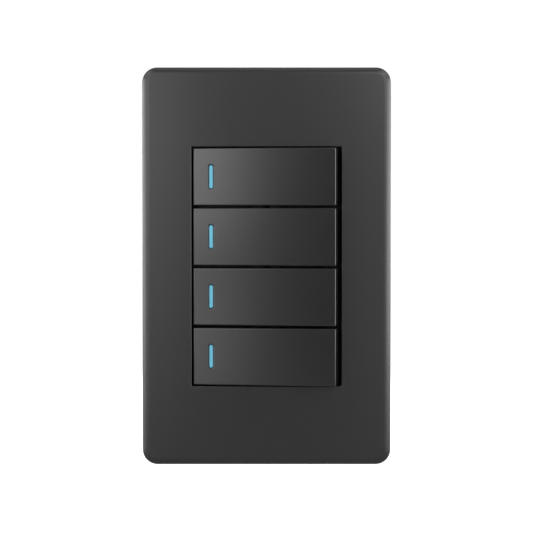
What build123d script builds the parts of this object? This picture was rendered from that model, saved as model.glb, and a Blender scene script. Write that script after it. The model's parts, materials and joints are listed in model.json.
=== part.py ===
from build123d import *
import os
from math import cos, pi, radians, sin, tan

# A wall switch with four keys that see-saw about upright pivots.
# X points to the right, Y into the wall and Z up.
# The origin is the middle of the cover plate's outline, on the wall surface.
# All sizes are in millimetres and all angles in degrees.

# Layout of the gangs
GANG_PITCH = 18.0
GANGS_PER_MODULE = 2
MODULES = ("upper", "lower")
KEY_GAP = 0.85
MODULE_GAP = 0.1

# See-saw motion: the keys rest with their right ends proud
KEY_TILT = 5.0
PIVOT_TO_FACE = 8.0
KEY_PROUD = 1.6

# Keys
KEY_WIDTH = 42.7
KEY_FACE_THICKNESS = 1.6
KEY_WALL = 1.3
KEY_SKIRT = 5.5
KEY_END_DRAFT = 7.0
KEY_EDGE_RADIUS = 0.35
KEY_SIDE_CLEARANCE = 0.39
KEY_HOOK_MARGIN = 3.6
KEY_HOOK_THICKNESS = 1.2
KEY_HOOK_WIDTH = 5.0

# Indicator strips
INDICATOR_MARGIN = 5.3
INDICATOR_WIDTH = 1.3
INDICATOR_HEIGHT = 7.05
INDICATOR_CORNER_CUT = 0.4
INDICATOR_RECESS = 0.28
INDICATOR_FLANGE = 0.7
INDICATOR_FLANGE_THICKNESS = 0.8
INDICATOR_CLEARANCE = 0.1

# Cover plate
PLATE_WIDTH = 75.0
PLATE_HEIGHT = 120.0
PLATE_RISE = 8.5
PLATE_WALL = 2.0
PLATE_CORNER_RADIUS = 4.5
PLATE_EDGE_RADIUS = 2.2
OPENING_EDGE_RADIUS = 0.3
COLLAR_WALL = 1.2
COLLAR_DEPTH = 1.0
PLATE_HOOK_SIDE_MARGIN = 10.5
PLATE_HOOK_END_MARGIN = 7.0
PLATE_HOOK_WIDTH = 5.0
PLATE_HOOK_THICKNESS = 1.3
STANDOFF_SIDE_MARGIN = 4.5
STANDOFF_Z = 22.0
STANDOFF_LENGTH = 8.0
STANDOFF_THICKNESS = 1.2

# Mounting frame
FRAME_SETBACK = 2.5
FRAME_THICKNESS = 2.0
FRAME_MARGIN = 1.0
FRAME_CORNER_RADIUS = 3.0
FRAME_RIM = 1.6
FRAME_RIB = 1.2
BOX_SCREW_SPACING = 83.5
BOX_SLOT_LENGTH = 7.4
BOX_SLOT_WIDTH = 4.4
BOX_BOSS_WALL = 1.6

# Snap hooks
BARB_REACH = 0.8
BARB_LENGTH = 1.1
SNAP_CLEARANCE = 0.05
HOOK_CLEARANCE = 0.3

# Module bezels
BEZEL_WALL = 1.2
BEZEL_FLOOR = 1.8
BEZEL_CLEARANCE = 0.2
BEZEL_FRONT_CLEARANCE = 0.3
BEZEL_LEDGE = 1.35
BEZEL_BARB_LENGTH = 6.0
CRADLE_HALF_WIDTH = 4.0
CRADLE_TOP = 2.2
CRADLE_SIDE_GAP = 0.3
MIDDLE_CRADLE = 3.0
ARCH_CLEARANCE = 0.8
PIVOT_TO_FLOOR = 0.6
SNAP_SLOT_WIDTH = 2.0
BEZEL_HOOK_Z = 14.5
BEZEL_HOOK_WIDTH = 2.6
BEZEL_HOOK_THICKNESS = 1.1
BEZEL_HOOK_DEPTH = 4.0

# Module housings
HOUSING_STEP = 1.0
HOUSING_WALL = 1.6
HOUSING_FLOOR = 2.0
HOUSING_CORNER_RADIUS = 1.2
HOUSING_INSET = 0.1
WIRE_ENTRY_RADIUS = 2.0
RELEASE_SLOT_WIDTH = 1.0
RELEASE_SLOT_HEIGHT = 3.6
RELEASE_SLOT_GAP = 0.3
TERMINAL_RIB = 1.0
TERMINAL_RIB_HEIGHT = 4.0

# Rocker carriers
STUB_RADIUS = 1.2
STUB_LENGTH = 1.3
STUB_CLEARANCE = 0.05
DECK_INDICATOR_GAP = 0.8
DECK_THICKNESS = 1.5
DECK_SIDE_GAP = 0.6
DECK_RIB = 1.2
DECK_RIB_DEPTH = 1.4
TUBE_WIDTH = 6.0
TUBE_REACH = 12.0
TUBE_SIDE_GAP = 0.75
BORE_START = 2.5
BORE_WIDTH = 3.5

# Plungers and their springs
PLUNGER_SIDE_CLEARANCE = 0.07
PLUNGER_REACH = 15.0
PLUNGER_LENGTH = 7.4
PLUNGER_SHOULDER = 2.1
NOSE_RADIUS = 1.2
PLUNGER_CLEARANCE = 0.08
SPRING_WIRE = 0.4
SPRING_RADIUS = 1.3
SPRING_TURNS = 3
SPRING_RUNS_PER_TURN = 8

# Contact levers
LEVER_TILT = 9.5
LEVER_FRONT = 0.6
LEVER_BACK = 0.4
LEVER_END_GAP = 1.0
LEVER_RIGHT = 6.5
LEVER_WIDTH = 5.0
LEVER_EAR_HALF_LENGTH = 1.5
LEVER_EAR_DEPTH = 1.9
LEVER_EAR_THICKNESS = 0.6
GROOVE_HALF_WIDTH = 0.45
GROOVE_DEPTH = 0.4

# Silver contacts, welded to the lever and to the load terminal
TIP_END_MARGIN = 1.7
TIP_LENGTH = 2.4
TIP_HEIGHT = 0.6
MOVING_TIP_WIDTH = 3.6
FIXED_TIP_WIDTH = 3.0
FIXED_TIP_HEIGHT = 0.8
CONTACT_CLEARANCE = 0.05

# Folded brass terminals and the springs that clamp the wires in them
TERMINAL_SHEET = 1.0
TERMINAL_WIDTH = 7.5
TERMINAL_DEPTH = 9.2
TERMINAL_HEIGHT = 5.0
TERMINAL_CLEARANCE = 0.4
TERMINAL_RIB_CLEARANCE = 0.1
ARM_OVERHANG = 1.9
KNIFE_HALF_THICKNESS = 0.6
KNIFE_TAPER = 1.6
KNIFE_SIDE_CLEARANCE = 0.2
KNIFE_TIP_CLEARANCE = 0.05
CLAMP_SHEET = 0.4
CLAMP_HEIGHT = 4.2
CLAMP_CLEARANCE = 0.05
CLAMP_LEG = 6.6
CLAMP_HEAD = 0.9
CLAMP_TIP_GAP = 0.8
CLAMP_TIP_DEPTH = 4.6

# Heights and widths that follow
KEY_HEIGHT = GANG_PITCH - KEY_GAP
INDICATOR_X = INDICATOR_MARGIN - KEY_WIDTH / 2
DECK_WIDTH = -2 * INDICATOR_X - INDICATOR_WIDTH - 2 * (INDICATOR_FLANGE + DECK_INDICATOR_GAP)
KEY_HOOK_X = DECK_WIDTH / 2 - KEY_HOOK_MARGIN
MODULE_PITCH = GANG_PITCH * GANGS_PER_MODULE
GANG_COUNT = GANGS_PER_MODULE * len(MODULES)
OPENING_HEIGHT = GANG_COUNT * GANG_PITCH
SKIRT_Y = KEY_SKIRT - PIVOT_TO_FACE
SKIRT_HALF_WIDTH = KEY_WIDTH / 2 + KEY_SKIRT * tan(radians(KEY_END_DRAFT))
KEY_REACH = SKIRT_HALF_WIDTH * cos(radians(KEY_TILT)) - SKIRT_Y * sin(radians(KEY_TILT))
OPENING_WIDTH = 2 * (KEY_REACH + KEY_SIDE_CLEARANCE)
FRAME_WIDTH = PLATE_WIDTH - 2 * (PLATE_WALL + FRAME_MARGIN)
FRAME_HEIGHT = PLATE_HEIGHT - 2 * (PLATE_WALL + FRAME_MARGIN)
PLATE_HOOK_X = FRAME_WIDTH / 2 - PLATE_HOOK_SIDE_MARGIN
PLATE_HOOK_Z = FRAME_HEIGHT / 2 - PLATE_HOOK_END_MARGIN
STANDOFF_X = FRAME_WIDTH / 2 - STANDOFF_SIDE_MARGIN
BEZEL_INNER_X = OPENING_WIDTH / 2 + SNAP_CLEARANCE
BEZEL_OUTER_X = BEZEL_INNER_X + BEZEL_WALL
BEZEL_HEIGHT = MODULE_PITCH - MODULE_GAP
FRAME_OPENING_X = BEZEL_OUTER_X + BEZEL_CLEARANCE
FRAME_OPENING_Z = (MODULE_PITCH * len(MODULES) - MODULE_GAP) / 2 + SNAP_CLEARANCE
HOUSING_WIDTH = 2 * (BEZEL_OUTER_X - HOUSING_STEP - BEZEL_HOOK_THICKNESS - SNAP_CLEARANCE)
HOUSING_HEIGHT = BEZEL_HEIGHT - 2 * HOUSING_INSET
TERMINAL_OUTER_X = HOUSING_WIDTH / 2 - HOUSING_WALL - TERMINAL_CLEARANCE
TERMINAL_INNER_X = TERMINAL_OUTER_X - TERMINAL_WIDTH
WIRE_X = TERMINAL_OUTER_X - TERMINAL_SHEET - WIRE_ENTRY_RADIUS
LEVER_LEFT = TERMINAL_INNER_X - LEVER_END_GAP
TIP_X = LEVER_LEFT - TIP_END_MARGIN
CRADLE_INNER_Z = (GANG_PITCH - MIDDLE_CRADLE) / 2
KEY_INNER_Y = KEY_FACE_THICKNESS - PIVOT_TO_FACE
DECK_BACK_Y = KEY_INNER_Y + DECK_THICKNESS

# Depths that follow, from the front to the back
PLATE_INNER_Y = PLATE_WALL - PLATE_RISE
COLLAR_Y = PLATE_INNER_Y + COLLAR_DEPTH
BEZEL_FRONT_Y = COLLAR_Y + BEZEL_FRONT_CLEARANCE
FRAME_FRONT_Y = PLATE_INNER_Y + FRAME_SETBACK
FRAME_BACK_Y = FRAME_FRONT_Y + FRAME_THICKNESS
PIVOT_Y = PIVOT_TO_FACE - PLATE_RISE - KEY_PROUD
BEZEL_FLOOR_Y = PIVOT_Y + PIVOT_TO_FLOOR
HOUSING_Y = BEZEL_FLOOR_Y + BEZEL_FLOOR
LEVER_Y = PIVOT_Y + PLUNGER_REACH + PLUNGER_CLEARANCE + LEVER_FRONT
TIP_SIDE_DROP = (TIP_X + TIP_LENGTH / 2) * sin(radians(LEVER_TILT))
TIP_FACE_DROP = (LEVER_BACK + TIP_HEIGHT) * cos(radians(LEVER_TILT))
FIXED_TIP_Y = LEVER_Y + TIP_SIDE_DROP + TIP_FACE_DROP + CONTACT_CLEARANCE
STRIP_Y = FIXED_TIP_Y + FIXED_TIP_HEIGHT
HOUSING_FLOOR_Y = STRIP_Y + TERMINAL_SHEET
HOUSING_BACK_Y = HOUSING_FLOOR_Y + HOUSING_FLOOR
TERMINAL_FRONT_Y = HOUSING_FLOOR_Y - TERMINAL_DEPTH


def span(x_range, y_range, z_range):
    """A block between two limits on each axis."""
    size = [high - low for low, high in (x_range, y_range, z_range)]
    centre = [(high + low) / 2 for low, high in (x_range, y_range, z_range)]
    return Pos(*centre) * Box(*size)


def about(middle, length):
    """The two limits of a length set about its middle."""
    return (middle - length / 2, middle + length / 2)


def mirror_pair(shape, plane):
    """A shape together with its mirror image."""
    return shape + mirror(shape, plane)


def upright_prism(points, z_range):
    """A prism on an outline drawn in X and Y, standing between two heights."""
    outline = make_face(Polyline(*points, close=True))
    low, high = z_range
    return Pos(0, 0, low) * extrude(outline, high - low, dir=(0, 0, 1))


def upright_rod(radius, y, half_length):
    """A round rod along Z, centred in width and height."""
    return Pos(0, y, 0) * Cylinder(radius, 2 * half_length)


def rod_through(radius, y_range, x, z):
    """A round rod along Y between two depths."""
    low, high = y_range
    return Pos(x, (low + high) / 2, z) * Rot(90, 0, 0) * Cylinder(radius, high - low)


def gang_height(gang):
    """Height of a gang's middle, counted from the top."""
    return (GANG_COUNT / 2 - 0.5 - gang) * GANG_PITCH


def module_height(module):
    """Height of a module's middle, counted from the top."""
    return (len(MODULES) / 2 - 0.5 - module) * MODULE_PITCH


def gangs_in_module():
    """Heights of a module's gangs about its own middle."""
    return [(GANGS_PER_MODULE / 2 - 0.5 - gang) * GANG_PITCH for gang in range(GANGS_PER_MODULE)]


def at_key(shape, gang):
    """Put a shape from a key's pivot frame in its resting place."""
    return Pos(0, PIVOT_Y, gang_height(gang)) * Rot(0, 0, -KEY_TILT) * shape


def at_lever(shape, gang):
    """Put a shape from a lever's pivot frame in its resting place."""
    return Pos(0, LEVER_Y, gang_height(gang)) * Rot(0, 0, LEVER_TILT) * shape


def plate_hook():
    """Upper right snap hook of the cover plate, with its barb upwards."""
    top = PLATE_HOOK_Z + PLATE_HOOK_THICKNESS
    barb_front = FRAME_BACK_Y + SNAP_CLEARANCE
    outline = Polyline(
        (PLATE_INNER_Y - SNAP_CLEARANCE, PLATE_HOOK_Z),
        (barb_front + BARB_LENGTH, PLATE_HOOK_Z),
        (barb_front + BARB_LENGTH, top),
        (barb_front, top + BARB_REACH),
        (barb_front, top),
        (PLATE_INNER_Y - SNAP_CLEARANCE, top),
        close=True,
    )
    start = PLATE_HOOK_X - PLATE_HOOK_WIDTH / 2
    profile = Plane(origin=(start, 0, 0), x_dir=(0, 1, 0), z_dir=(1, 0, 0)) * make_face(outline)
    return extrude(profile, PLATE_HOOK_WIDTH, dir=(1, 0, 0))


def four_corners(shape):
    """A shape in the upper right quarter, repeated in the other three."""
    return mirror_pair(mirror_pair(shape, Plane.YZ), Plane.XY)


def cover_plate():
    """The moulded plate: rounded shell, opening with its collar, hooks and standoffs."""
    half_x = PLATE_WIDTH / 2
    half_z = PLATE_HEIGHT / 2
    body = span((-half_x, half_x), (-PLATE_RISE, 0), (-half_z, half_z))
    body = fillet(body.edges().filter_by(Axis.Y), PLATE_CORNER_RADIUS)
    body = fillet(body.faces().sort_by(Axis.Y)[0].edges(), PLATE_EDGE_RADIUS)
    inner_x = half_x - PLATE_WALL
    inner_z = half_z - PLATE_WALL
    cavity = span((-inner_x, inner_x), (PLATE_INNER_Y, 0), (-inner_z, inner_z))
    body -= fillet(cavity.edges().filter_by(Axis.Y), PLATE_CORNER_RADIUS - PLATE_WALL / 2)
    opening_x = OPENING_WIDTH / 2
    opening_z = OPENING_HEIGHT / 2
    collar_x = opening_x + COLLAR_WALL
    collar_z = opening_z + COLLAR_WALL
    body += span((-collar_x, collar_x), (PLATE_INNER_Y - SNAP_CLEARANCE, COLLAR_Y), (-collar_z, collar_z))
    body -= span((-opening_x, opening_x), (-PLATE_RISE, 0), (-opening_z, opening_z))
    lip = body.faces().sort_by(Axis.Y)[0].inner_wires()[0].edges()
    body = fillet(lip, OPENING_EDGE_RADIUS)
    standoff = span(
        about(STANDOFF_X, STANDOFF_THICKNESS),
        (PLATE_INNER_Y - SNAP_CLEARANCE, FRAME_FRONT_Y),
        about(STANDOFF_Z, STANDOFF_LENGTH),
    )
    return body + four_corners(plate_hook() + standoff)


def slot_prism(width, height, y_range, z):
    """An upright slot-shaped prism through a thickness in Y."""
    low, high = y_range
    outline = Plane(origin=(0, low, z), x_dir=(0, 0, 1), z_dir=(0, 1, 0)) * SlotOverall(height, width)
    return extrude(outline, high - low, dir=(0, 1, 0))


def ring(half_x, half_z, wall, y_range):
    """A rectangular ring of even wall, outside a given half width and half height."""
    outer = span((-half_x - wall, half_x + wall), y_range, (-half_z - wall, half_z + wall))
    return outer - span((-half_x, half_x), y_range, (-half_z, half_z))


def mounting_frame():
    """The moulded frame that the wall box's two screws hold, with rims, ribs and bosses."""
    outer = Rot(90, 0, 0) * RectangleRounded(FRAME_WIDTH, FRAME_HEIGHT, FRAME_CORNER_RADIUS)
    body = Pos(0, FRAME_FRONT_Y, 0) * extrude(outer, -FRAME_FRONT_Y, dir=(0, 1, 0))
    pocket_corner = max(FRAME_CORNER_RADIUS - FRAME_RIM, FRAME_RIM / 2)
    pocket = Rot(90, 0, 0) * RectangleRounded(
        FRAME_WIDTH - 2 * FRAME_RIM, FRAME_HEIGHT - 2 * FRAME_RIM, pocket_corner
    )
    body -= Pos(0, FRAME_BACK_Y, 0) * extrude(pocket, -FRAME_BACK_Y, dir=(0, 1, 0))
    ribbed = (FRAME_BACK_Y, 0)
    barb_room = BARB_REACH + HOOK_CLEARANCE
    body += ring(FRAME_OPENING_X + barb_room, FRAME_OPENING_Z + barb_room, FRAME_RIB, ribbed)
    side_rib = span(
        (FRAME_OPENING_X + barb_room, FRAME_WIDTH / 2 - FRAME_RIM / 2), ribbed, about(STANDOFF_Z, FRAME_RIB)
    )
    end_rib = span(
        about(PLATE_HOOK_X - PLATE_HOOK_WIDTH, FRAME_RIB),
        ribbed,
        (FRAME_OPENING_Z + barb_room, FRAME_HEIGHT / 2 - FRAME_RIM / 2),
    )
    body += four_corners(side_rib + end_rib)
    boss = span(
        about(0, BOX_SLOT_WIDTH + 2 * BOX_BOSS_WALL),
        ribbed,
        about(BOX_SCREW_SPACING / 2, BOX_SLOT_LENGTH + 2 * BOX_BOSS_WALL),
    )
    body += mirror_pair(boss, Plane.XY)
    slot = slot_prism(BOX_SLOT_WIDTH, BOX_SLOT_LENGTH, (FRAME_FRONT_Y, 0), BOX_SCREW_SPACING / 2)
    body -= mirror_pair(slot, Plane.XY)
    window = span(
        about(PLATE_HOOK_X, PLATE_HOOK_WIDTH + 2 * HOOK_CLEARANCE),
        (FRAME_FRONT_Y, 0),
        (PLATE_HOOK_Z - BARB_REACH, PLATE_HOOK_Z + PLATE_HOOK_THICKNESS + HOOK_CLEARANCE),
    )
    body -= four_corners(window)
    return body - span(
        (-FRAME_OPENING_X, FRAME_OPENING_X), (FRAME_FRONT_Y, 0), (-FRAME_OPENING_Z, FRAME_OPENING_Z)
    )


def bezel_barb(z):
    """Right-hand barb that holds a bezel behind the frame."""
    front = FRAME_BACK_Y + SNAP_CLEARANCE
    outline = [
        (BEZEL_INNER_X, front),
        (BEZEL_OUTER_X + BARB_REACH, front),
        (BEZEL_OUTER_X, front + BARB_LENGTH),
        (BEZEL_INNER_X, front + BARB_LENGTH),
    ]
    return upright_prism(outline, about(z, BEZEL_BARB_LENGTH))


def housing_hook(z):
    """Right-hand arm that holds the housing, with its barb inwards."""
    inner = HOUSING_WIDTH / 2 + SNAP_CLEARANCE
    tip = HOUSING_Y + BEZEL_HOOK_DEPTH
    outline = [
        (inner, HOUSING_Y - SNAP_CLEARANCE),
        (inner + BEZEL_HOOK_THICKNESS, HOUSING_Y - SNAP_CLEARANCE),
        (inner + BEZEL_HOOK_THICKNESS, tip),
        (inner, tip),
        (inner - BARB_REACH, tip - BARB_LENGTH),
        (inner, tip - BARB_LENGTH),
    ]
    return upright_prism(outline, about(z, BEZEL_HOOK_WIDTH))


def cradle(z_range):
    """A post that carries the pivot stubs."""
    top = PIVOT_Y - CRADLE_TOP
    return span((-CRADLE_HALF_WIDTH, CRADLE_HALF_WIDTH), (top, BEZEL_FLOOR_Y), z_range)


def module_bezel(module):
    """Front half of a switch module: floor, end walls, ledges, cradles and hooks."""
    half_z = BEZEL_HEIGHT / 2
    all_z = (-half_z, half_z)
    body = span((-BEZEL_OUTER_X, BEZEL_OUTER_X), (BEZEL_FLOOR_Y, HOUSING_Y), all_z)
    body += cradle(all_z)
    for gang_z in gangs_in_module():
        body -= span(
            about(0, 2 * CRADLE_HALF_WIDTH),
            (PIVOT_Y - CRADLE_TOP, BEZEL_FLOOR_Y),
            about(gang_z, 2 * CRADLE_INNER_Z),
        )
        body -= span(
            about(0, TUBE_WIDTH + 2 * TUBE_SIDE_GAP),
            (BEZEL_FLOOR_Y, HOUSING_Y),
            about(gang_z, 2 * CRADLE_INNER_Z),
        )
    body -= upright_rod(STUB_RADIUS + STUB_CLEARANCE, PIVOT_Y, half_z)
    body -= span(about(0, SNAP_SLOT_WIDTH), (PIVOT_Y - CRADLE_TOP, PIVOT_Y), all_z)
    wall = span((BEZEL_INNER_X, BEZEL_OUTER_X), (BEZEL_FRONT_Y, BEZEL_FLOOR_Y), all_z)
    end = wall + span((BEZEL_OUTER_X, BEZEL_OUTER_X + BEZEL_LEDGE), (BEZEL_FRONT_Y, FRAME_FRONT_Y), all_z)
    for gang_z in gangs_in_module():
        end += bezel_barb(gang_z)
    end += mirror_pair(housing_hook(BEZEL_HOOK_Z), Plane.XY)
    body += mirror_pair(end, Plane.YZ)
    return Pos(0, 0, module_height(module)) * body


def terminal_ribs(gang_z):
    """Right-hand pair of ribs that a terminal stands between."""
    rib_z = TERMINAL_HEIGHT / 2 + TERMINAL_RIB_CLEARANCE
    rib = span(
        (TERMINAL_INNER_X, HOUSING_WIDTH / 2 - HOUSING_WALL),
        (HOUSING_FLOOR_Y - TERMINAL_RIB_HEIGHT, HOUSING_FLOOR_Y),
        (rib_z, rib_z + TERMINAL_RIB),
    )
    return Pos(0, 0, gang_z) * mirror_pair(rib, Plane.XY)


def module_housing(module):
    """Rear half of a switch module: an open box with a cell, wire entries and ribs for each gang."""
    half_x = HOUSING_WIDTH / 2
    half_z = HOUSING_HEIGHT / 2
    inner_x = half_x - HOUSING_WALL
    inner_z = half_z - HOUSING_WALL
    body = span((-half_x, half_x), (HOUSING_Y, HOUSING_BACK_Y), (-half_z, half_z))
    body = fillet(body.edges().filter_by(Axis.Y), HOUSING_CORNER_RADIUS)
    body -= span((-inner_x, inner_x), (HOUSING_Y, HOUSING_FLOOR_Y), (-inner_z, inner_z))
    for joint in range(1, GANGS_PER_MODULE):
        partition_z = (joint - GANGS_PER_MODULE / 2) * GANG_PITCH
        body += span((-inner_x, inner_x), (HOUSING_Y, HOUSING_FLOOR_Y), about(partition_z, HOUSING_WALL))
    for gang_z in gangs_in_module():
        body += mirror_pair(terminal_ribs(gang_z), Plane.YZ)
        entry = rod_through(WIRE_ENTRY_RADIUS, (HOUSING_FLOOR_Y, HOUSING_BACK_Y), WIRE_X, gang_z)
        slot_end = WIRE_X - WIRE_ENTRY_RADIUS - RELEASE_SLOT_GAP
        entry += span(
            (slot_end - RELEASE_SLOT_WIDTH, slot_end),
            (HOUSING_FLOOR_Y, HOUSING_BACK_Y),
            about(gang_z, RELEASE_SLOT_HEIGHT),
        )
        body -= mirror_pair(entry, Plane.YZ)
    barb_front = HOUSING_Y + BEZEL_HOOK_DEPTH - BARB_LENGTH
    window = span(
        (inner_x, half_x),
        (barb_front - SNAP_CLEARANCE, barb_front + BARB_LENGTH + HOOK_CLEARANCE),
        about(BEZEL_HOOK_Z, BEZEL_HOOK_WIDTH + 2 * HOOK_CLEARANCE),
    )
    body -= four_corners(window)
    return Pos(0, 0, module_height(module)) * body


def key_profile(inset, face_y, skirt_y):
    """Outline of a key's section in X and Y, drafted at both ends."""
    slope = tan(radians(KEY_END_DRAFT))
    face_half = KEY_WIDTH / 2 + (face_y + PIVOT_TO_FACE) * slope - inset
    skirt_half = KEY_WIDTH / 2 + (skirt_y + PIVOT_TO_FACE) * slope - inset
    return [(-face_half, face_y), (face_half, face_y), (skirt_half, skirt_y), (-skirt_half, skirt_y)]


def key_hook():
    """Right-hand snap hook under a key's face, with its barb outwards."""
    start = KEY_INNER_Y - SNAP_CLEARANCE
    barb = DECK_BACK_Y + SNAP_CLEARANCE
    outer = KEY_HOOK_X + KEY_HOOK_THICKNESS
    outline = [
        (KEY_HOOK_X, start),
        (outer, start),
        (outer, barb),
        (outer + BARB_REACH, barb),
        (outer, barb + BARB_LENGTH),
        (KEY_HOOK_X, barb + BARB_LENGTH),
    ]
    return upright_prism(outline, about(0, KEY_HOOK_WIDTH))


def strip_block(growth, y_range):
    """A strip with its corners cut, between two depths, larger by a growth on each side."""
    block = span(
        about(INDICATOR_X, INDICATOR_WIDTH + 2 * growth),
        y_range,
        about(0, INDICATOR_HEIGHT + 2 * growth),
    )
    return chamfer(block.edges().filter_by(Axis.Y), INDICATOR_CORNER_CUT)


def key():
    """One key: a drafted cap with rounded edges, a strip slot, pivot arches and two hooks."""
    half_z = KEY_HEIGHT / 2
    cap = upright_prism(key_profile(0, -PIVOT_TO_FACE, SKIRT_Y), (-half_z, half_z))
    cap = fillet(cap.faces().sort_by(Axis.Y)[0].edges(), KEY_EDGE_RADIUS)
    cavity = key_profile(KEY_WALL, KEY_INNER_Y, SKIRT_Y)
    cap -= upright_prism(cavity, (KEY_WALL - half_z, half_z - KEY_WALL))
    cap -= strip_block(INDICATOR_CLEARANCE, (-PIVOT_TO_FACE, KEY_INNER_Y))
    arch = CRADLE_HALF_WIDTH + ARCH_CLEARANCE
    cap -= span((-arch, arch), (-CRADLE_TOP - ARCH_CLEARANCE, SKIRT_Y), (-half_z, half_z))
    return cap + mirror_pair(key_hook(), Plane.YZ)


def indicator():
    """The strip in a key's slot, with the flange that holds it from behind."""
    strip = strip_block(0, (INDICATOR_RECESS - PIVOT_TO_FACE, KEY_INNER_Y))
    flange = span(
        about(INDICATOR_X, INDICATOR_WIDTH + 2 * INDICATOR_FLANGE),
        (KEY_INNER_Y, KEY_INNER_Y + INDICATOR_FLANGE_THICKNESS),
        about(0, INDICATOR_HEIGHT + 2 * INDICATOR_FLANGE),
    )
    return strip + flange


def rocker():
    """The carrier under a key: deck with ribs, cross wall, pivot stubs and plunger tube."""
    half_x = DECK_WIDTH / 2
    half_z = KEY_HEIGHT / 2 - KEY_WALL - DECK_SIDE_GAP
    body = span((-half_x, half_x), (KEY_INNER_Y, DECK_BACK_Y), (-half_z, half_z))
    rib = span((-half_x, half_x), (DECK_BACK_Y, DECK_BACK_Y + DECK_RIB_DEPTH), (half_z - DECK_RIB, half_z))
    body += mirror_pair(rib, Plane.XY)
    wall_z = CRADLE_INNER_Z - CRADLE_SIDE_GAP
    body += span((-STUB_RADIUS, STUB_RADIUS), (DECK_BACK_Y, 0), (-wall_z, wall_z))
    body += upright_rod(STUB_RADIUS, 0, wall_z + STUB_LENGTH)
    body += span(about(0, TUBE_WIDTH), (DECK_BACK_Y, TUBE_REACH), about(0, TUBE_WIDTH))
    body -= span(about(0, BORE_WIDTH), (BORE_START, TUBE_REACH), about(0, BORE_WIDTH))
    window = span(
        (KEY_HOOK_X - HOOK_CLEARANCE, KEY_HOOK_X + KEY_HOOK_THICKNESS + HOOK_CLEARANCE),
        (KEY_INNER_Y, DECK_BACK_Y),
        about(0, KEY_HOOK_WIDTH + 2 * HOOK_CLEARANCE),
    )
    return body - mirror_pair(window, Plane.YZ)


def plunger():
    """The square sliding pin with its rounded nose."""
    width = BORE_WIDTH - 2 * PLUNGER_SIDE_CLEARANCE
    back = PLUNGER_REACH - PLUNGER_LENGTH
    shoulder = PLUNGER_REACH - PLUNGER_SHOULDER
    nose_y = PLUNGER_REACH - NOSE_RADIUS
    sides = Polyline(
        (-NOSE_RADIUS, nose_y),
        (-width / 2, shoulder),
        (-width / 2, back),
        (width / 2, back),
        (width / 2, shoulder),
        (NOSE_RADIUS, nose_y),
    )
    nose = ThreePointArc((NOSE_RADIUS, nose_y), (0, PLUNGER_REACH), (-NOSE_RADIUS, nose_y))
    return Pos(0, 0, -width / 2) * extrude(make_face(sides + nose), width, dir=(0, 0, 1))


def plunger_spring():
    """The coil between the bore's end and the plunger, of square wire in short straight runs."""
    length = PLUNGER_REACH - PLUNGER_LENGTH - BORE_START - SPRING_WIRE
    runs = round(SPRING_TURNS * SPRING_RUNS_PER_TURN)
    points = []
    for run in range(runs + 1):
        turn = 2 * pi * run / SPRING_RUNS_PER_TURN
        along = BORE_START + SPRING_WIRE / 2 + length * run / runs
        points.append((SPRING_RADIUS * cos(turn), along, SPRING_RADIUS * sin(turn)))
    path = Polyline(*points)
    start = Plane(origin=path @ 0, x_dir=(0, 1, 0), z_dir=path % 0)
    return sweep(start * Rectangle(SPRING_WIRE, SPRING_WIRE), path, transition=Transition.RIGHT)


def contact_lever():
    """The tilting blade: a strip with a groove for its knife edge and two locating ears."""
    half_z = LEVER_WIDTH / 2
    blade = upright_prism(
        [
            (-LEVER_LEFT, -LEVER_FRONT),
            (LEVER_RIGHT, -LEVER_FRONT),
            (LEVER_RIGHT, LEVER_BACK),
            (GROOVE_HALF_WIDTH, LEVER_BACK),
            (0, LEVER_BACK - GROOVE_DEPTH),
            (-GROOVE_HALF_WIDTH, LEVER_BACK),
            (-LEVER_LEFT, LEVER_BACK),
        ],
        (-half_z, half_z),
    )
    ear = span(
        (-LEVER_EAR_HALF_LENGTH, LEVER_EAR_HALF_LENGTH),
        (-LEVER_FRONT, LEVER_EAR_DEPTH),
        (half_z, half_z + LEVER_EAR_THICKNESS),
    )
    return blade + mirror_pair(ear, Plane.XY)


def moving_tip():
    """The silver bar welded behind the lever's left end."""
    depths = (LEVER_BACK, LEVER_BACK + TIP_HEIGHT)
    return span(about(-TIP_X, TIP_LENGTH), depths, about(0, MOVING_TIP_WIDTH))


def fixed_tip():
    """The silver bar welded on the load terminal's arm."""
    return span(about(-TIP_X, TIP_LENGTH), (FIXED_TIP_Y, STRIP_Y), about(0, FIXED_TIP_WIDTH))


def folded_strip(points, thickness, width):
    """A sheet strip folded along a line drawn in X and Y, upright in its width."""
    path = Polyline(*points)
    start = Plane(origin=path @ 0, x_dir=(0, 0, 1), z_dir=path % 0)
    return sweep(start * Rectangle(width, thickness), path, transition=Transition.RIGHT)


def terminal(inner_end):
    """Right-hand terminal: a strip on the housing's floor, folded up and over the wire."""
    half = TERMINAL_SHEET / 2
    floor = HOUSING_FLOOR_Y - half
    front = TERMINAL_FRONT_Y + half
    line = [
        (inner_end, floor),
        (TERMINAL_INNER_X + half, floor),
        (TERMINAL_INNER_X + half, front),
        (TERMINAL_OUTER_X - half, front),
        (TERMINAL_OUTER_X - half, HOUSING_FLOOR_Y),
    ]
    return folded_strip(line, TERMINAL_SHEET, TERMINAL_HEIGHT)


def common_terminal():
    """Right-hand terminal with the knife edge that carries the lever."""
    top = LEVER_Y + LEVER_BACK - GROOVE_DEPTH + KNIFE_TIP_CLEARANCE
    half = KNIFE_HALF_THICKNESS
    half_z = LEVER_WIDTH / 2 - KNIFE_SIDE_CLEARANCE
    outline = [
        (-half, STRIP_Y),
        (-half, top + KNIFE_TAPER),
        (0, top),
        (half, top + KNIFE_TAPER),
        (half, STRIP_Y),
    ]
    return terminal(-half) + upright_prism(outline, (-half_z, half_z))


def load_terminal():
    """Left-hand terminal, whose arm ends under the fixed tip."""
    return mirror(terminal(TIP_X - ARM_OVERHANG), Plane.YZ)


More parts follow.
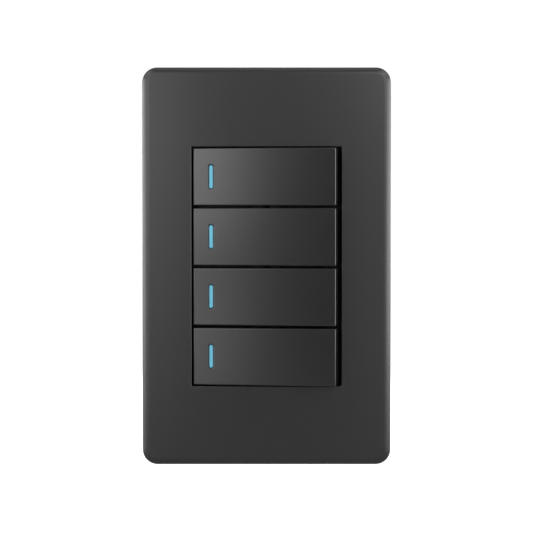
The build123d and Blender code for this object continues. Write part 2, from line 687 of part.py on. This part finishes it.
def clamp_spring():
    """Right-hand steel spring that presses the wire against its terminal."""
    leg_x = TERMINAL_INNER_X + TERMINAL_SHEET + CLAMP_CLEARANCE + CLAMP_SHEET / 2
    front = TERMINAL_FRONT_Y + TERMINAL_SHEET + CLAMP_CLEARANCE + CLAMP_SHEET / 2
    line = [
        (leg_x, front + CLAMP_LEG),
        (leg_x, front),
        (leg_x + CLAMP_HEAD, front),
        (TERMINAL_OUTER_X - TERMINAL_SHEET - CLAMP_TIP_GAP, front + CLAMP_TIP_DEPTH),
    ]
    return folded_strip(line, CLAMP_SHEET, CLAMP_HEIGHT)


def write(name, shape):
    """Write one piece to its own file."""
    export_step(shape, os.path.join("parts", name + ".step"))


def main():
    os.makedirs("parts", exist_ok=True)
    write("cover_plate", cover_plate())
    write("mounting_frame", mounting_frame())
    for index, name in enumerate(MODULES):
        write("module_bezel_" + name, module_bezel(index))
        write("module_housing_" + name, module_housing(index))
    for gang in range(GANG_COUNT):
        number = str(gang + 1)
        place = Pos(0, 0, gang_height(gang))
        write("key_" + number, at_key(key(), gang))
        write("indicator_" + number, at_key(indicator(), gang))
        write("rocker_" + number, at_key(rocker(), gang))
        write("plunger_" + number, at_key(plunger(), gang))
        write("plunger_spring_" + number, at_key(plunger_spring(), gang))
        write("contact_lever_" + number, at_lever(contact_lever(), gang))
        write("moving_tip_" + number, at_lever(moving_tip(), gang))
        write("fixed_tip_" + number, place * fixed_tip())
        write("common_terminal_" + number, place * common_terminal())
        write("common_clamp_" + number, place * clamp_spring())
        write("load_terminal_" + number, place * load_terminal())
        write("load_clamp_" + number, place * mirror(clamp_spring(), Plane.YZ))


main()
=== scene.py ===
"""Looks of a four-gang wall switch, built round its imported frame.

Lengths are in metres. X points to the right, Y into the wall and Z up.
"""

import json
from collections import namedtuple
from math import atan, copysign, cos, pi, radians, sin, tan

import bmesh
import bpy
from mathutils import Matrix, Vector

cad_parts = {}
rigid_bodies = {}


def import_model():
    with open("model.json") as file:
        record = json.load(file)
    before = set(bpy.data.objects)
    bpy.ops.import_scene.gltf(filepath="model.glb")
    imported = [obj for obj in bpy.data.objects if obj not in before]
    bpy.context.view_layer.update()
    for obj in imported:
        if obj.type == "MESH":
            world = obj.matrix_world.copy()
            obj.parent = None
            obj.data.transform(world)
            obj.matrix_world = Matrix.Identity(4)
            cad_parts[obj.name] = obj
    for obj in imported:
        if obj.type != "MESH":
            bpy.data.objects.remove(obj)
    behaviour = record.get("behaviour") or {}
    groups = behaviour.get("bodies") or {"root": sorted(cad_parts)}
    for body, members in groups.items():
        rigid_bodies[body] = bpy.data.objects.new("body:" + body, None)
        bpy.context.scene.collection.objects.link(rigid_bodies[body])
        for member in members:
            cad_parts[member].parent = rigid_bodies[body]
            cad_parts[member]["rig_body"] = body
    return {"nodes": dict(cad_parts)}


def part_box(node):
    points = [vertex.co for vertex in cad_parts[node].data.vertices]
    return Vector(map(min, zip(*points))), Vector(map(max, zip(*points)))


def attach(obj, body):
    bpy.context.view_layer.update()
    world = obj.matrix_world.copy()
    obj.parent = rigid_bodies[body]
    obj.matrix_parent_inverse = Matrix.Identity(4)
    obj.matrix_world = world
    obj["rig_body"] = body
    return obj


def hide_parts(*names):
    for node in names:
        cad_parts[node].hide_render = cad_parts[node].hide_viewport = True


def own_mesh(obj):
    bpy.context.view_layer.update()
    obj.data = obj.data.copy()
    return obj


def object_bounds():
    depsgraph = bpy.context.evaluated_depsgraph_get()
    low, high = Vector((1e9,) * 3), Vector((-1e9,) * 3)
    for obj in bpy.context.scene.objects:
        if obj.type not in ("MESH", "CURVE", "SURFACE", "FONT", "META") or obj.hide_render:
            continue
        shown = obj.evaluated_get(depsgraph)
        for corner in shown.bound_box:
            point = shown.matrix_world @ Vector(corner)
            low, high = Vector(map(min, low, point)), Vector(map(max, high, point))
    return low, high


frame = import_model()
cad_low, cad_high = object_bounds()
plate_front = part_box("cover_plate")[0].y

MM = 0.001
GANGS = (1, 2, 3, 4)

# Camera, set from the photograph: an almost level view from a little above the middle of the plate.
# The tilt is in degrees, and the shift, rise and right are shares of the picture's width.
CAMERA_DISTANCE = 0.340
FRAME_WIDTH_AT_PLATE = 0.1600
CAMERA_TILT = 1.0
CAMERA_SHIFT = -0.08
SENSOR_WIDTH = 36.0
PLATE_CENTRE_RISE = 0.0004
PLATE_CENTRE_RIGHT = 0.0001
NEAREST_SEEN = 0.01
FARTHEST_SEEN = 20.0

# The floor lies below the hanging switch
FLOOR_DROP = 0.06
FLOOR_HALF_WIDTH = 3.0
FLOOR_TONE = 0.30

# Moulding radii that the solids leave out
PLASTIC_EDGE_RADIUS = 0.15 * MM
KEY_EDGE_RADIUS = 0.20 * MM
METAL_EDGE_RADIUS = 0.06 * MM
FRAME_EDGE_RADIUS = 0.04 * MM
STRIP_EDGE_RADIUS = 0.24 * MM
SLOT_REACH = 0.5 * MM
EDGE_SEGMENTS = 2
STRIP_SEGMENTS = 3
SHARP_ANGLE = 35.0
FLAT_ANGLE = 0.5
WELD_DISTANCE = 0.002 * MM

# The plate's front is very slightly domed, mostly towards its two long sides
CROWN_SIDE = 0.32 * MM
CROWN_SIDE_POWER = 4
CROWN_END = 0.20 * MM
CROWN_END_POWER = 2
CROWN_GRID = 5.0 * MM
PLATE_WALL = 2.0 * MM

# A bezel's outer end lies beyond one height and its inner end below another, both from the middle of the
# switch, and each end moves a little
BEZEL_END = 35.8 * MM
BEZEL_TUCK = 0.2 * MM
BEZEL_START = 0.2 * MM
HALF_BEZEL_JOINT = 0.05 * MM

# Grain and tone of the finishes: the noise values that count as lowest and highest, the size and detail
# of each pattern, and how far the gloss goes below and above a finish's own
NOISE_LOW = 0.3
NOISE_HIGH = 0.7
PLASTIC_CLOUD = 9 * MM
PLASTIC_DETAIL = 3.0
PLASTIC_GLOSS_SPREAD = (-0.04, 0.05)
METAL_CLOUD = 3 * MM
METAL_CLOUD_DETAIL = 4.0
METAL_LINE = 0.35 * MM
METAL_LINE_DETAIL = 2.0
METAL_RELIEF = 0.004 * MM
METAL_GLOSS_SPREAD = (-0.07, 0.10)


def socket(node, name, value):
    """Set one input of a node."""
    node.inputs[name].default_value = value
    return node


class Recipe:
    """A material's node tree, with short calls for the nodes that the finishes share."""

    def __init__(self, name):
        self.material = bpy.data.materials.new(name)
        self.material.use_nodes = True
        self.tree = self.material.node_tree
        self.surface = self.tree.nodes["Principled BSDF"]
        self.place = self.tree.nodes.new("ShaderNodeTexCoord").outputs["Object"]

    def link(self, source, target):
        """Join an output to an input."""
        self.tree.links.new(source, target)

    def stretched(self, scale):
        """Object coordinates, stretched by a factor on each axis."""
        node = socket(self.tree.nodes.new("ShaderNodeMapping"), "Scale", scale)
        self.link(self.place, node.inputs["Vector"])
        return node.outputs["Vector"]

    def noise(self, size, detail, stretch=(1, 1, 1)):
        """Noise whose features are about a given size."""
        node = socket(self.tree.nodes.new("ShaderNodeTexNoise"), "Scale", 1 / size)
        socket(node, "Detail", detail)
        self.link(self.stretched(stretch), node.inputs["Vector"])
        return node.outputs["Fac"]

    def spread(self, value, low, high):
        """A noise value, spread between two limits."""
        node = socket(self.tree.nodes.new("ShaderNodeMapRange"), "From Min", NOISE_LOW)
        socket(node, "From Max", NOISE_HIGH)
        socket(node, "To Min", low)
        socket(node, "To Max", high)
        self.link(value, node.inputs["Value"])
        return node.outputs["Result"]

    def between(self, value, first, second):
        """A colour between two colours, by a noise value."""
        node = self.tree.nodes.new("ShaderNodeMix")
        node.data_type = "RGBA"
        socket(node, "A", (*first, 1))
        socket(node, "B", (*second, 1))
        self.link(self.spread(value, 0, 1), node.inputs["Factor"])
        return node.outputs["Result"]

    def bump(self, value, height):
        """Relief of a given height from a noise value."""
        node = socket(self.tree.nodes.new("ShaderNodeBump"), "Distance", height)
        self.link(value, node.inputs["Height"])
        return node.outputs["Normal"]

    def finish(self, tone, gloss, relief):
        """Link a tone, a gloss and a relief to the surface, and give back the material."""
        self.link(tone, self.surface.inputs["Base Color"])
        self.link(gloss, self.surface.inputs["Roughness"])
        self.link(relief, self.surface.inputs["Normal"])
        return self.material


def linear(level):
    """Linear light of one 8-bit sRGB level."""
    value = level / 255
    return value / 12.92 if value <= 0.04045 else ((value + 0.055) / 1.055) ** 2.4


def colour(red, green, blue):
    """Linear colour from 8-bit sRGB levels."""
    return tuple(linear(level) for level in (red, green, blue))


def shade(base, factor):
    """A colour made lighter or darker."""
    return tuple(min(1.0, channel * factor) for channel in base)


def moulded(name, base, roughness, grain, relief, specular=0.5, mottle=0.06):
    """Moulded plastic: a fine grained skin with faint uneven gloss and tone."""
    recipe = Recipe(name)
    cloud = recipe.noise(PLASTIC_CLOUD, PLASTIC_DETAIL)
    fine = recipe.noise(grain, PLASTIC_DETAIL)
    tone = recipe.between(cloud, shade(base, 1 - mottle), shade(base, 1 + mottle))
    low, high = PLASTIC_GLOSS_SPREAD
    gloss = recipe.spread(fine, roughness + low, roughness + high)
    socket(recipe.surface, "Specular IOR Level", specular)
    return recipe.finish(tone, gloss, recipe.bump(fine, relief))


def worked_metal(name, base, roughness, stretch, tarnish):
    """Sheet or wire metal: fine lines, long where the stretch is small, and tarnish in soft patches."""
    recipe = Recipe(name)
    cloud = recipe.noise(METAL_CLOUD, METAL_CLOUD_DETAIL)
    lines = recipe.noise(METAL_LINE, METAL_LINE_DETAIL, stretch)
    tone = recipe.between(cloud, shade(base, tarnish), base)
    low, high = METAL_GLOSS_SPREAD
    gloss = recipe.spread(lines, roughness + low, roughness + high)
    socket(recipe.surface, "Metallic", 1.0)
    return recipe.finish(tone, gloss, recipe.bump(lines, METAL_RELIEF))


MATERIALS = {
    "plate_plastic": moulded(
        "matt_dark_grey", colour(24, 24, 24), roughness=0.35, grain=0.32 * MM, relief=0.006 * MM,
        specular=0.75,
    ),
    "key_plastic": moulded(
        "satin_dark_grey", colour(30, 30, 30), roughness=0.22, grain=0.22 * MM, relief=0.0004 * MM,
        specular=0.85,
    ),
    "strip_plastic": moulded(
        "aqua_strip", colour(108, 184, 209), roughness=0.40, grain=0.25 * MM, relief=0.002 * MM,
        specular=0.3, mottle=0.03,
    ),
    "frame_plastic": moulded(
        "black_frame", colour(38, 38, 39), roughness=0.45, grain=0.40 * MM, relief=0.006 * MM
    ),
    "module_plastic": moulded(
        "pale_module", colour(196, 194, 187), roughness=0.38, grain=0.35 * MM, relief=0.004 * MM
    ),
    "carrier_plastic": moulded(
        "black_carrier", colour(38, 38, 39), roughness=0.35, grain=0.30 * MM, relief=0.003 * MM
    ),
    "plunger_plastic": moulded(
        "ivory_plunger", colour(205, 199, 180), roughness=0.30, grain=0.30 * MM, relief=0.003 * MM
    ),
    "spring_steel": worked_metal(
        "spring_steel", colour(190, 191, 194), roughness=0.28, stretch=(1, 1, 0.08), tarnish=0.85
    ),
    "copper_blade": worked_metal(
        "copper_blade", colour(205, 128, 92), roughness=0.33, stretch=(0.08, 1, 1), tarnish=0.70
    ),
    "silver": worked_metal(
        "silver_contact", colour(222, 219, 211), roughness=0.35, stretch=(1, 1, 1), tarnish=0.80
    ),
    "brass": worked_metal(
        "brass_strip", colour(214, 180, 104), roughness=0.30, stretch=(0.08, 1, 1), tarnish=0.78
    ),
}

EDGE_RADII = {
    "key_plastic": KEY_EDGE_RADIUS,
    "strip_plastic": STRIP_EDGE_RADIUS,
    "frame_plastic": FRAME_EDGE_RADIUS,
    "spring_steel": METAL_EDGE_RADIUS,
    "copper_blade": METAL_EDGE_RADIUS,
    "silver": METAL_EDGE_RADIUS,
    "brass": METAL_EDGE_RADIUS,
}


def slot_of(name):
    """The record's material slot of a node."""
    return frame["nodes"][name].data.materials[0].name.split(".")[0]


SLOTS = {name: slot_of(name) for name in frame["nodes"]}


def domed(bm):
    """Dome the front of the plate, on a grid fine enough to stay smooth."""
    half_x = cad_high.x
    half_z = cad_high.z
    for axis, half in ((0, half_x), (2, half_z)):
        normal = Vector((axis == 0, 0, axis == 2))
        steps = int(half / CROWN_GRID)
        for step in range(-steps, steps + 1):
            place = normal * (step * CROWN_GRID)
            bmesh.ops.bisect_plane(
                bm, geom=bm.verts[:] + bm.edges[:] + bm.faces[:], plane_co=place, plane_no=normal
            )
    for vertex in bm.verts:
        depth = (vertex.co.y - plate_front) / PLATE_WALL
        share = max(0.0, 1 - depth)
        side_sag = CROWN_SIDE * (vertex.co.x / half_x) ** CROWN_SIDE_POWER
        end_sag = CROWN_END * (vertex.co.z / half_z) ** CROWN_END_POWER
        vertex.co.y += share * (side_sag + end_sag)


def tucked(bm):
    """Tuck a bezel's outer end behind the frame's lip and close the joint at its inner end.

    Both keep light from showing as specks in the opening.
    """
    for vertex in bm.verts:
        height = abs(vertex.co.z)
        if height > BEZEL_END:
            vertex.co.z += copysign(BEZEL_TUCK, vertex.co.z)
        elif height < BEZEL_START:
            vertex.co.z -= copysign(HALF_BEZEL_JOINT, vertex.co.z)


RESHAPED = {"cover_plate": domed, "module_bezel_upper": tucked, "module_bezel_lower": tucked}


def rounded(bm, edges, radius, segments):
    """Round some edges of a mesh."""
    bmesh.ops.bevel(
        bm, geom=edges, offset=radius, segments=segments, profile=0.5, affect="EDGES", clamp_overlap=True
    )


def round_strip_slot(bm, key, edges):
    """Round the edges of a key's strip slot more than the rest, and give back the rest."""
    low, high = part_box(key.replace("key", "indicator"))
    slot, others = [], []
    for edge in edges:
        middle = (edge.verts[0].co + edge.verts[1].co) / 2
        inside = all(low[axis] - SLOT_REACH < middle[axis] < high[axis] + SLOT_REACH for axis in (0, 2))
        (slot if inside else others).append(edge)
    rounded(bm, slot, STRIP_EDGE_RADIUS, STRIP_SEGMENTS)
    return others


def softened(name):
    """A copy of a node with small moulding radii on its sharp edges, which stands for it."""
    node = frame["nodes"][name]
    slot = SLOTS[name]
    bm = bmesh.new()
    bm.from_mesh(node.data)
    bmesh.ops.remove_doubles(bm, verts=bm.verts, dist=WELD_DISTANCE)
    bmesh.ops.dissolve_limit(bm, angle_limit=radians(FLAT_ANGLE), verts=bm.verts, edges=bm.edges)
    sharp = [edge for edge in bm.edges if edge.calc_face_angle() > radians(SHARP_ANGLE)]
    if slot == "key_plastic":
        sharp = round_strip_slot(bm, name, sharp)
    segments = STRIP_SEGMENTS if slot == "strip_plastic" else EDGE_SEGMENTS
    rounded(bm, sharp, EDGE_RADII.get(slot, PLASTIC_EDGE_RADIUS), segments)
    if name in RESHAPED:
        RESHAPED[name](bm)
    mesh = bpy.data.meshes.new("soft_" + name)
    bm.to_mesh(mesh)
    bm.free()
    for polygon in mesh.polygons:
        polygon.use_smooth = True
    mesh.set_sharp_from_angle(angle=radians(SHARP_ANGLE))
    mesh.materials.append(MATERIALS[slot])
    piece = bpy.data.objects.new("soft_" + name, mesh)
    bpy.context.scene.collection.objects.link(piece)
    piece.modifiers.new("even_normals", "WEIGHTED_NORMAL").keep_sharp = True
    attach(piece, node["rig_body"])
    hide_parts(name)


def springy(gang):
    """Give a plunger's spring a mesh of its own."""
    name = f"plunger_spring_{gang}"
    piece = bpy.data.objects["soft_" + name]
    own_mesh(piece)


# Where each lamp stands, seen from the object, in degrees round and up from the front, its size and its
# brightness
Lamp = namedtuple("Lamp", "azimuth elevation distance width height radiance")
BOX_DISTANCE = 0.38
BOX_WIDTH = 0.165
PANEL_DISTANCE = 0.5
LAMPS = {
    "left_low_box": Lamp(-25, -9.5, BOX_DISTANCE, BOX_WIDTH, 0.08, 1.55),
    "left_middle_box": Lamp(-25, 6.5, BOX_DISTANCE, BOX_WIDTH, 0.10, 2.7),
    "left_high_box": Lamp(-25, 24, BOX_DISTANCE, BOX_WIDTH, 0.165, 2.0),
    "right_low_box": Lamp(26, -3, BOX_DISTANCE, BOX_WIDTH, 0.18, 1.1),
    "right_high_box": Lamp(26, 26, BOX_DISTANCE, BOX_WIDTH, 0.165, 3.2),
    "left_panel": Lamp(-60, 5, PANEL_DISTANCE, 0.26, 0.30, 3.1),
    "left_far_panel": Lamp(-95, 5, PANEL_DISTANCE, 0.30, 0.30, 5.0),
    "right_panel": Lamp(60, 5, PANEL_DISTANCE, 0.26, 0.30, 3.8),
    "right_far_panel": Lamp(95, 5, PANEL_DISTANCE, 0.30, 0.30, 4.6),
    "left_upper_panel": Lamp(-65, 45, PANEL_DISTANCE, 0.25, 0.20, 3.0),
    "right_upper_panel": Lamp(65, 45, PANEL_DISTANCE, 0.25, 0.20, 3.6),
    "top_soft_box": Lamp(0, 50, PANEL_DISTANCE, 0.50, 0.20, 0.4),
    "top_panel": Lamp(0, 84, PANEL_DISTANCE, 0.35, 0.25, 1.0),
    "back_soft_box": Lamp(180, 12, 0.55, 0.60, 0.30, 5.0),
}
STUDIO_LEVEL = 0.03


def set_up(name, lamp):
    """A soft box that faces the object."""
    light = bpy.data.lights.new(name, "AREA")
    light.shape = "RECTANGLE"
    light.size = lamp.width
    light.size_y = lamp.height
    # A flat lamp's power is its radiance times pi times its area
    light.energy = lamp.radiance * pi * lamp.width * lamp.height
    item = bpy.data.objects.new(name, light)
    bpy.context.scene.collection.objects.link(item)
    turn, rise = radians(lamp.azimuth), radians(lamp.elevation)
    towards = Vector((sin(turn) * cos(rise), -cos(turn) * cos(rise), sin(rise)))
    item.location = towards * lamp.distance
    item.rotation_mode = "QUATERNION"
    item.rotation_quaternion = towards.to_track_quat("Z", "Y")
    item.visible_camera = False


def world_light():
    """White for camera and transmission rays and for reflections of what lies behind, and dim otherwise."""
    world = bpy.data.worlds.new("studio")
    bpy.context.scene.world = world
    world.use_nodes = True
    tree = world.node_tree
    nodes, links = tree.nodes, tree.links
    backdrop = socket(nodes["Background"], "Color", (1, 1, 1, 1))
    direction = nodes.new("ShaderNodeTexCoord")
    parts = nodes.new("ShaderNodeSeparateXYZ")
    links.new(direction.outputs["Generated"], parts.inputs["Vector"])
    behind = nodes.new("ShaderNodeMapRange")
    behind.interpolation_type = "SMOOTHSTEP"
    links.new(parts.outputs["Y"], behind.inputs["Value"])
    path = nodes.new("ShaderNodeLightPath")
    level = behind.outputs["Result"]
    for operation, ray in (
        ("MULTIPLY", "Is Glossy Ray"), ("MAXIMUM", "Is Transmission Ray"), ("MAXIMUM", "Is Camera Ray"),
    ):
        step = nodes.new("ShaderNodeMath")
        step.operation = operation
        links.new(level, step.inputs[0])
        links.new(path.outputs[ray], step.inputs[1])
        level = step.outputs[0]
    mixed = socket(nodes.new("ShaderNodeMapRange"), "To Min", STUDIO_LEVEL)
    links.new(level, mixed.inputs["Value"])
    links.new(mixed.outputs["Result"], backdrop.inputs["Strength"])


def floor_piece():
    """A pale floor below the hanging switch, which looks white as far as the horizon."""
    half = FLOOR_HALF_WIDTH
    level = cad_low.z - FLOOR_DROP
    corners = [(-half, -half, level), (half, -half, level), (half, half, level), (-half, half, level)]
    mesh = bpy.data.meshes.new("floor")
    mesh.from_pydata(corners, [], [(0, 1, 2, 3)])
    piece = bpy.data.objects.new("floor", mesh)
    bpy.context.scene.collection.objects.link(piece)
    material = bpy.data.materials.new("pale_floor")
    material.use_nodes = True
    nodes, links = material.node_tree.nodes, material.node_tree.links
    nodes.remove(nodes["Principled BSDF"])
    matt = socket(nodes.new("ShaderNodeBsdfDiffuse"), "Color", (FLOOR_TONE, FLOOR_TONE, FLOOR_TONE, 1))
    white = socket(nodes.new("ShaderNodeEmission"), "Strength", 1.0)
    path = nodes.new("ShaderNodeLightPath")
    both = nodes.new("ShaderNodeAddShader")
    links.new(matt.outputs[0], both.inputs[0])
    links.new(white.outputs[0], both.inputs[1])
    choice = nodes.new("ShaderNodeMixShader")
    links.new(path.outputs["Is Camera Ray"], choice.inputs["Fac"])
    links.new(matt.outputs[0], choice.inputs[1])
    links.new(both.outputs[0], choice.inputs[2])
    links.new(choice.outputs[0], nodes["Material Output"].inputs["Surface"])
    mesh.materials.append(material)


def camera_for_photo():
    """The camera: level but for a small tilt, with a small shift that frames the plate."""
    data = bpy.data.cameras.new("camera")
    data.sensor_width = SENSOR_WIDTH
    data.lens = SENSOR_WIDTH * CAMERA_DISTANCE / FRAME_WIDTH_AT_PLATE
    data.shift_x = -PLATE_CENTRE_RIGHT
    data.shift_y = CAMERA_SHIFT
    data.clip_start = NEAREST_SEEN
    data.clip_end = FARTHEST_SEEN
    item = bpy.data.objects.new("camera", data)
    bpy.context.scene.collection.objects.link(item)
    off_axis = atan((PLATE_CENTRE_RISE - CAMERA_SHIFT) * SENSOR_WIDTH / data.lens)
    height = CAMERA_DISTANCE * tan(off_axis + radians(CAMERA_TILT))
    item.location = (0, plate_front - CAMERA_DISTANCE, height)
    item.rotation_euler = (radians(90 - CAMERA_TILT), 0, 0)
    bpy.context.scene.camera = item


for node_name in sorted(frame["nodes"]):
    softened(node_name)
for gang_number in GANGS:
    springy(gang_number)
for lamp_name, lamp_values in LAMPS.items():
    set_up(lamp_name, lamp_values)
world_light()
floor_piece()
camera_for_photo()
bpy.context.scene.view_settings.view_transform = "Standard"
